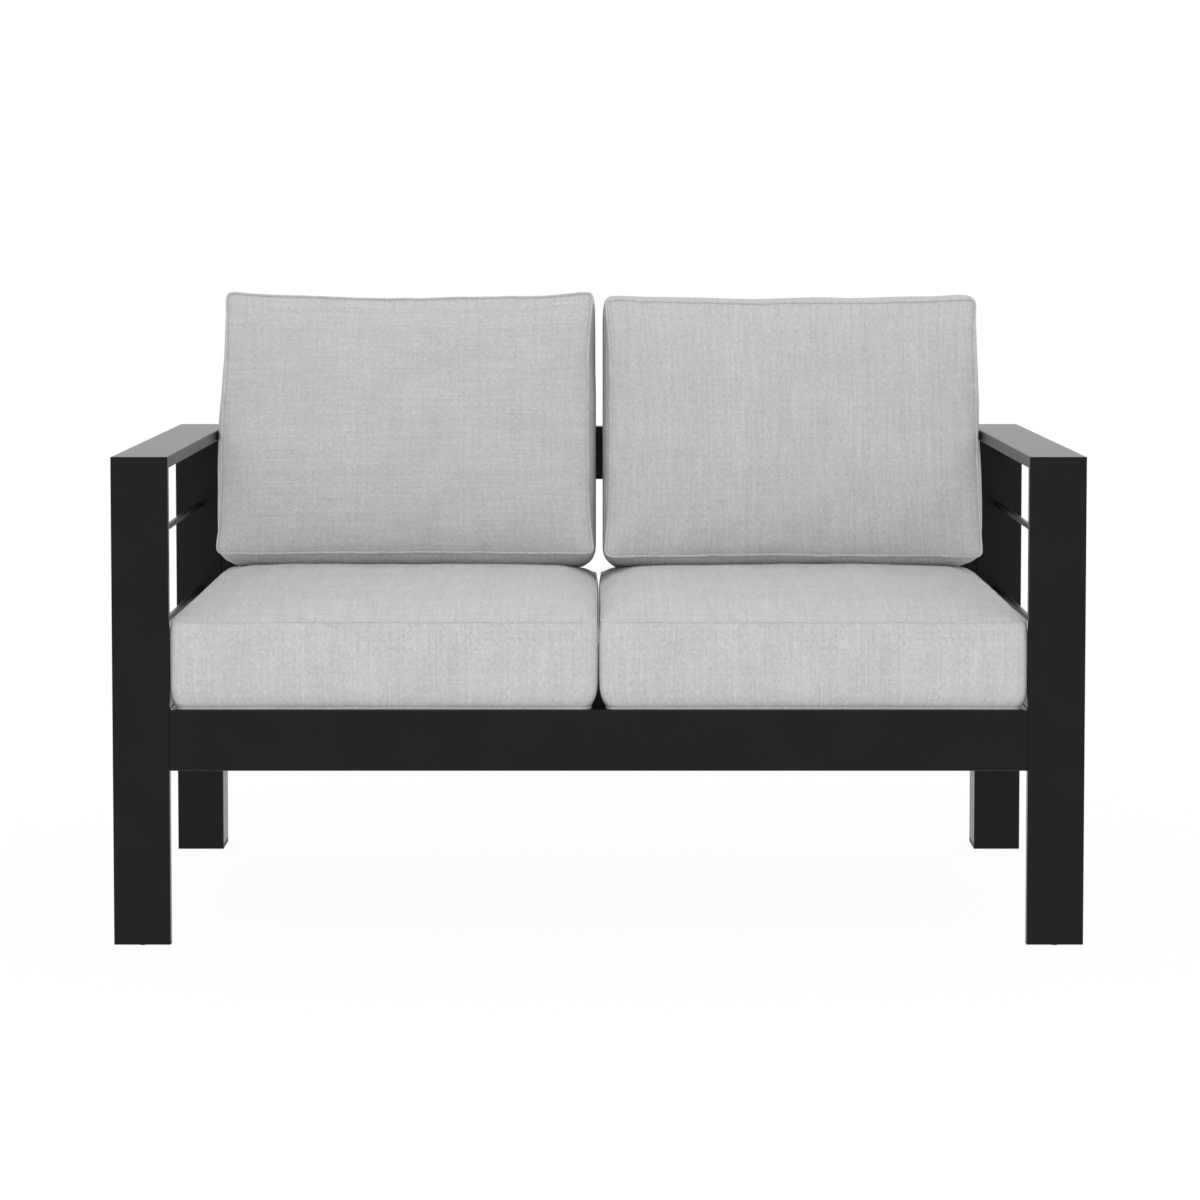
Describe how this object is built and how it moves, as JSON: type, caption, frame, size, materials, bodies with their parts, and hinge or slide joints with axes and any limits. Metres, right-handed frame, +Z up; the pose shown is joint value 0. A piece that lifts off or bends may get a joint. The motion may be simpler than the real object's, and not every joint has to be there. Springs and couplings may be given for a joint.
{
  "type": "patio loveseat",
  "caption": "Low open-sided patio loveseat: a black flat-tube aluminium frame with slim side bars and a back rail, carrying loose box seat cushions and leaning back cushions.",
  "frame": {"origin": "on the ground, in the middle of the outer box", "axes": "+X to the right seen from the front, -Y towards the front, +Z up"},
  "size_m": [1.3, 0.75, 0.8611],
  "materials": {
    "frame_powder_coat": "matte black powder coat on extruded aluminium tube",
    "bracket_steel": "black powder-coated pressed steel",
    "fastener_steel": "plain stainless steel",
    "foot_plastic": "black moulded plastic",
    "cushion_fabric": "light grey heathered linen-look woven outdoor fabric",
    "cushion_filling": "off-white foam and fibre",
    "zip_tape": "grey woven tape with moulded teeth"
  },
  "bodies": {
    "frame": {"back_top_rail": "frame_powder_coat", "foot_glides": "foot_plastic", "frame_bolts": "fastener_steel", "frame_rivet_nuts": "fastener_steel", "frame_washers": "fastener_steel", "front_seat_rail": "frame_powder_coat", "left_arm": "frame_powder_coat", "left_arm_end_plate": "frame_powder_coat", "left_back_rail_bracket": "bracket_steel", "left_back_rail_spacer": "frame_powder_coat", "left_back_upright": "frame_powder_coat", "left_front_foot_cap": "foot_plastic", "left_front_post": "frame_powder_coat", "left_front_seat_bracket": "bracket_steel", "left_lower_side_bar": "frame_powder_coat", "left_rear_foot_cap": "foot_plastic", "left_rear_leg": "frame_powder_coat", "left_rear_seat_bracket": "bracket_steel", "left_side_seat_rail": "frame_powder_coat", "left_upper_side_bar": "frame_powder_coat", "rear_seat_rail": "frame_powder_coat", "right_arm": "frame_powder_coat", "right_arm_end_plate": "frame_powder_coat", "right_back_rail_bracket": "bracket_steel", "right_back_rail_spacer": "frame_powder_coat", "right_back_upright": "frame_powder_coat", "right_front_foot_cap": "foot_plastic", "right_front_post": "frame_powder_coat", "right_front_seat_bracket": "bracket_steel", "right_lower_side_bar": "frame_powder_coat", "right_rear_foot_cap": "foot_plastic", "right_rear_leg": "frame_powder_coat", "right_rear_seat_bracket": "bracket_steel", "right_side_seat_rail": "frame_powder_coat", "right_upper_side_bar": "frame_powder_coat", "seat_slat_1": "frame_powder_coat", "seat_slat_2": "frame_powder_coat", "seat_slat_3": "frame_powder_coat", "seat_slat_4": "frame_powder_coat", "seat_slat_5": "frame_powder_coat", "seat_slat_6": "frame_powder_coat", "seat_slat_7": "frame_powder_coat", "seat_slat_8": "frame_powder_coat", "seat_slat_9": "frame_powder_coat"},
    "left_seat_cushion": {"left_seat_cushion_core": "cushion_filling", "left_seat_cushion_cover": "cushion_fabric", "left_seat_cushion_zip": "zip_tape"},
    "right_seat_cushion": {"right_seat_cushion_core": "cushion_filling", "right_seat_cushion_cover": "cushion_fabric", "right_seat_cushion_zip": "zip_tape"},
    "left_back_cushion": {"left_back_cushion_core": "cushion_filling", "left_back_cushion_cover": "cushion_fabric", "left_back_cushion_zip": "zip_tape"},
    "right_back_cushion": {"right_back_cushion_core": "cushion_filling", "right_back_cushion_cover": "cushion_fabric", "right_back_cushion_zip": "zip_tape"}
  },
  "joints": [
    {"name": "left_seat_cushion_pull", "type": "slide", "parent": "frame", "child": "left_seat_cushion", "axis": [0, -1, 0], "range_m": [0, 0.7]},
    {"name": "right_seat_cushion_pull", "type": "slide", "parent": "frame", "child": "right_seat_cushion", "axis": [0, -1, 0], "range_m": [0, 0.7]},
    {"name": "left_back_cushion_lift", "type": "slide", "parent": "frame", "child": "left_back_cushion", "axis": [0, 0, 1], "range_m": [0, 0.45]},
    {"name": "right_back_cushion_lift", "type": "slide", "parent": "frame", "child": "right_back_cushion", "axis": [0, 0, 1], "range_m": [0, 0.45]}
  ]
}
